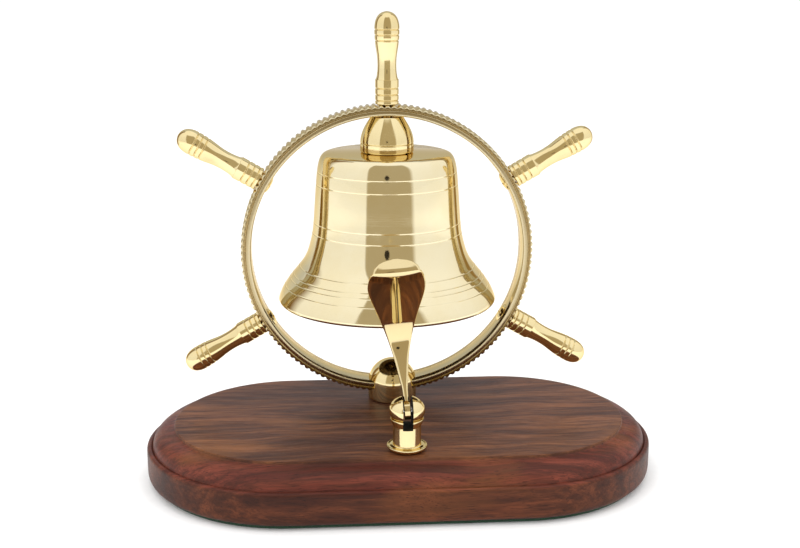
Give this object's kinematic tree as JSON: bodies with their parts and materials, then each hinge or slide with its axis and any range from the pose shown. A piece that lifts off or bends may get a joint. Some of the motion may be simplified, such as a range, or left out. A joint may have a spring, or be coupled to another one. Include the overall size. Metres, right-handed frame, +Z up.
{
  "type": "ship bell",
  "caption": "Brass desk bell hung in a knurled ship's-wheel ring with turned handles, on a moulded wooden base, rung by a front striker lever.",
  "frame": {"origin": "middle of the underside of the base, on the surface that it stands on", "axes": "+Z up, +X to the right along the base's length, -Y towards the striker lever and the user"},
  "size_m": [0.19, 0.1168, 0.1712],
  "materials": {
    "rosewood": "satin lacquered red-brown hardwood with fine straight grain",
    "baize": "short-pile dark green baize",
    "wheel_brass": "polished, knurled on its rim",
    "turned_brass": "polished, turned on a lathe",
    "bell_brass": "mirror polished and lacquered",
    "lever_brass": "mirror polished",
    "plated_steel": "bright zinc plated"
  },
  "bodies": {
    "stand": {"plinth": "rosewood", "baize_pad": "baize", "wheel_ring": "wheel_brass", "handle_top": "turned_brass", "handle_upper_left": "turned_brass", "handle_upper_right": "turned_brass", "handle_lower_left": "turned_brass", "handle_lower_right": "turned_brass", "screw_upper_left": "turned_brass", "screw_upper_right": "turned_brass", "screw_lower_left": "turned_brass", "screw_lower_right": "turned_brass", "bell": "bell_brass", "crown_acorn": "turned_brass", "bell_stud": "turned_brass", "bell_washer": "turned_brass", "bell_nut": "turned_brass", "wheel_foot": "turned_brass", "foot_bolt": "plated_steel", "foot_washer": "plated_steel", "striker_post": "turned_brass", "post_screw": "plated_steel", "post_washer": "plated_steel", "pivot_pin": "plated_steel"},
    "lever": {"striker_lever": "lever_brass"}
  },
  "joints": [
    {"name": "striker", "type": "hinge", "parent": "stand", "child": "lever", "pos_m": [0, -0.0346, 0.0362], "axis": [1, 0, 0], "range_deg": [0, 120]}
  ]
}
